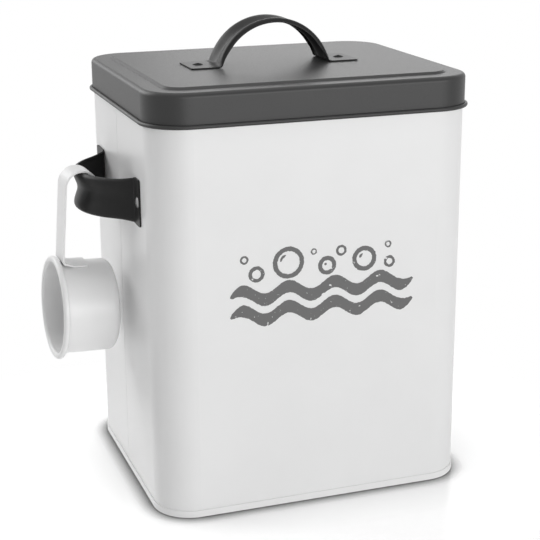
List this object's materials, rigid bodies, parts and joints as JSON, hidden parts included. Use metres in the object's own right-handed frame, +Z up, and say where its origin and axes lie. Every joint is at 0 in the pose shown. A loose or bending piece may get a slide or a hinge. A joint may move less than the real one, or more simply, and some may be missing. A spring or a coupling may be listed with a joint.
{
  "type": "laundry powder tin",
  "caption": "Tall rounded sheet-steel storage tin with a lift-off lid, strap handles on the lid and side walls, and a small round scoop hooked over one side handle.",
  "frame": {"origin": "centre of the tin's base, on the surface that it stands on", "axes": "+Z up, +X to the right along the wide side, +Y to the back; the printed side faces -Y"},
  "size_m": [0.2764, 0.1758, 0.2899],
  "materials": {
    "white_enamel": "satin white enamel",
    "black_paint": "satin black paint",
    "grey_paint": "fine-textured matte dark grey paint",
    "rivet_metal": "plain bright rivet",
    "scoop_enamel": "satin white enamel"
  },
  "bodies": {
    "tin": {"tin_wall": "white_enamel", "tin_base": "white_enamel", "left_handle": "black_paint", "right_handle": "black_paint", "left_handle_rivets": "rivet_metal", "right_handle_rivets": "rivet_metal", "scoop_cup": "scoop_enamel", "scoop_handle": "scoop_enamel"},
    "lid": {"lid_shell": "grey_paint", "lid_handle": "grey_paint", "lid_handle_rivets": "grey_paint"}
  },
  "joints": [
    {"name": "lid_lift", "type": "slide", "parent": "tin", "child": "lid", "axis": [0, 0, 1], "range_m": [0, 0.08]}
  ]
}
